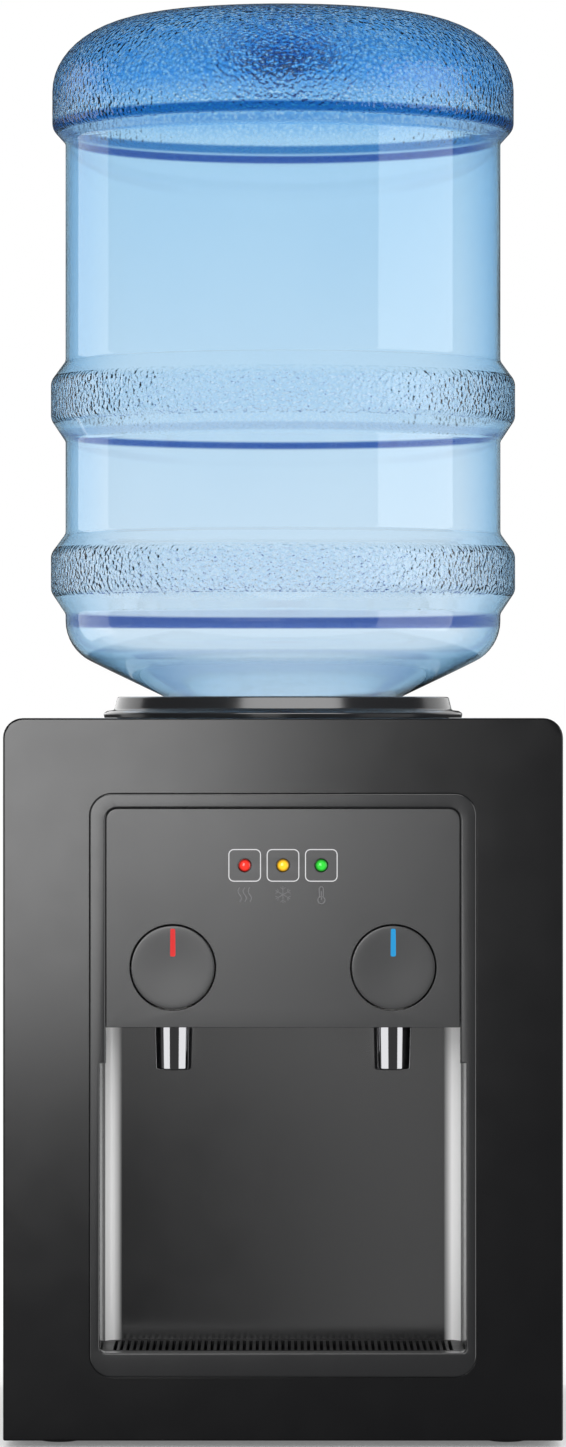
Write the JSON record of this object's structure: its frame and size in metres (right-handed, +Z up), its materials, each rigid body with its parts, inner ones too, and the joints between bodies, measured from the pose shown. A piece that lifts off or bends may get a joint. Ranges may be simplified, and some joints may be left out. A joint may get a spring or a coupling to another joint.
{
  "type": "countertop water dispenser",
  "caption": "Countertop dispenser with an inverted water bottle, hot and cold push-button taps over a recessed cup bay with a lift-out drip tray.",
  "frame": {"origin": "on the worktop under the middle of the casing, at the bottom of the feet", "axes": "+Z up, +Y towards the back, +X to the right seen from the front; the taps face -Y"},
  "size_m": [0.31, 0.32, 0.809],
  "materials": {
    "front_gloss": "gloss",
    "frame_plastic": "satin",
    "control_plastic": "satin",
    "bay_plastic": "gloss",
    "cover_plastic": "satin",
    "case_steel": "satin",
    "galvanised_steel": "satin",
    "rubber": "matte",
    "black_plastic": "matte",
    "white_plastic": "satin",
    "bottle_plastic": "gloss",
    "cap_plastic": "satin",
    "dark_chrome": "polished",
    "stainless": "satin",
    "aluminium": "satin",
    "foam": "matte",
    "silicone": "satin",
    "ceramic": "satin",
    "circuit_board": "satin",
    "red_plastic": "gloss",
    "amber_plastic": "gloss",
    "green_plastic": "gloss",
    "blue_plastic": "gloss"
  },
  "bodies": {
    "casing": {"base_pan": "galvanised_steel", "bay_liner": "bay_plastic", "bezel_frame": "frame_plastic", "bottle_collar": "cover_plastic", "bottle_seat": "white_plastic", "cold_block": "aluminium", "cold_button_spring": "stainless", "cold_outlet_tube": "silicone", "cold_spout": "dark_chrome", "cold_tank": "stainless", "cold_tank_insulation": "foam", "cold_tap_body": "white_plastic", "control_panel": "control_plastic", "control_thermostat": "ceramic", "cutout_thermostat": "ceramic", "drain_fitting": "white_plastic", "drain_tube": "silicone", "fan_frame": "black_plastic", "foot_front_left": "rubber", "foot_front_right": "rubber", "foot_rear_left": "rubber", "foot_rear_right": "rubber", "front_panel": "front_gloss", "green_led": "green_plastic", "heat_sink": "aluminium", "heater_band": "galvanised_steel", "hot_button_spring": "stainless", "hot_feed_tube": "silicone", "hot_outlet_tube": "silicone", "hot_spout": "dark_chrome", "hot_tank": "stainless", "hot_tank_insulation": "foam", "hot_tap_body": "white_plastic", "indicator_board": "circuit_board", "left_side_panel": "case_steel", "peltier_module": "ceramic", "power_board": "circuit_board", "power_inlet": "black_plastic", "rear_panel": "case_steel", "red_led": "red_plastic", "right_side_panel": "case_steel", "seat_probe": "white_plastic", "switch_housing": "black_plastic", "top_cover": "cover_plastic", "vent_tube": "silicone", "yellow_led": "amber_plastic"},
    "bottle_load": {"bottle": "bottle_plastic", "bottle_cap": "cap_plastic"},
    "hot_push": {"hot_button": "control_plastic", "hot_button_mark": "red_plastic", "hot_valve_stem": "white_plastic"},
    "cold_push": {"cold_button": "control_plastic", "cold_button_mark": "blue_plastic", "cold_valve_stem": "white_plastic"},
    "tray": {"drip_tray": "black_plastic"},
    "grid": {"drip_grid": "black_plastic"},
    "fan": {"fan_rotor": "black_plastic"},
    "heat_rocker": {"heat_switch": "red_plastic"},
    "cool_rocker": {"cool_switch": "green_plastic"},
    "drain_plug": {"drain_cap": "black_plastic"}
  },
  "joints": [
    {"name": "bottle_lift", "type": "slide", "parent": "casing", "child": "bottle_load", "axis": [0, 0, 1], "range_m": [0, 0.12]},
    {"name": "hot_button_press", "type": "slide", "parent": "casing", "child": "hot_push", "axis": [0, 1, 0], "range_m": [0, 0.006], "stiffness_N_per_m": 350, "springref_m": -0.004, "deforming": ["hot_button_spring"]},
    {"name": "cold_button_press", "type": "slide", "parent": "casing", "child": "cold_push", "axis": [0, 1, 0], "range_m": [0, 0.006], "stiffness_N_per_m": 350, "springref_m": -0.004, "deforming": ["cold_button_spring"]},
    {"name": "tray_lift", "type": "slide", "parent": "casing", "child": "tray", "axis": [0, 0, 1], "range_m": [0, 0.07]},
    {"name": "grid_lift", "type": "slide", "parent": "tray", "child": "grid", "axis": [0, 0, 1], "range_m": [0, 0.07]},
    {"name": "fan_spin", "type": "hinge", "parent": "casing", "child": "fan", "pos_m": [0, 0.1392, 0.288], "axis": [0, 1, 0], "continuous": true},
    {"name": "heat_rocker_tilt", "type": "hinge", "parent": "casing", "child": "heat_rocker", "pos_m": [0.076, 0.154, 0.112], "axis": [1, 0, 0], "range_deg": [0, 18]},
    {"name": "cool_rocker_tilt", "type": "hinge", "parent": "casing", "child": "cool_rocker", "pos_m": [0.1, 0.154, 0.112], "axis": [1, 0, 0], "range_deg": [0, 18]},
    {"name": "drain_cap_off", "type": "slide", "parent": "casing", "child": "drain_plug", "axis": [0, 1, 0], "range_m": [0, 0.03]}
  ]
}
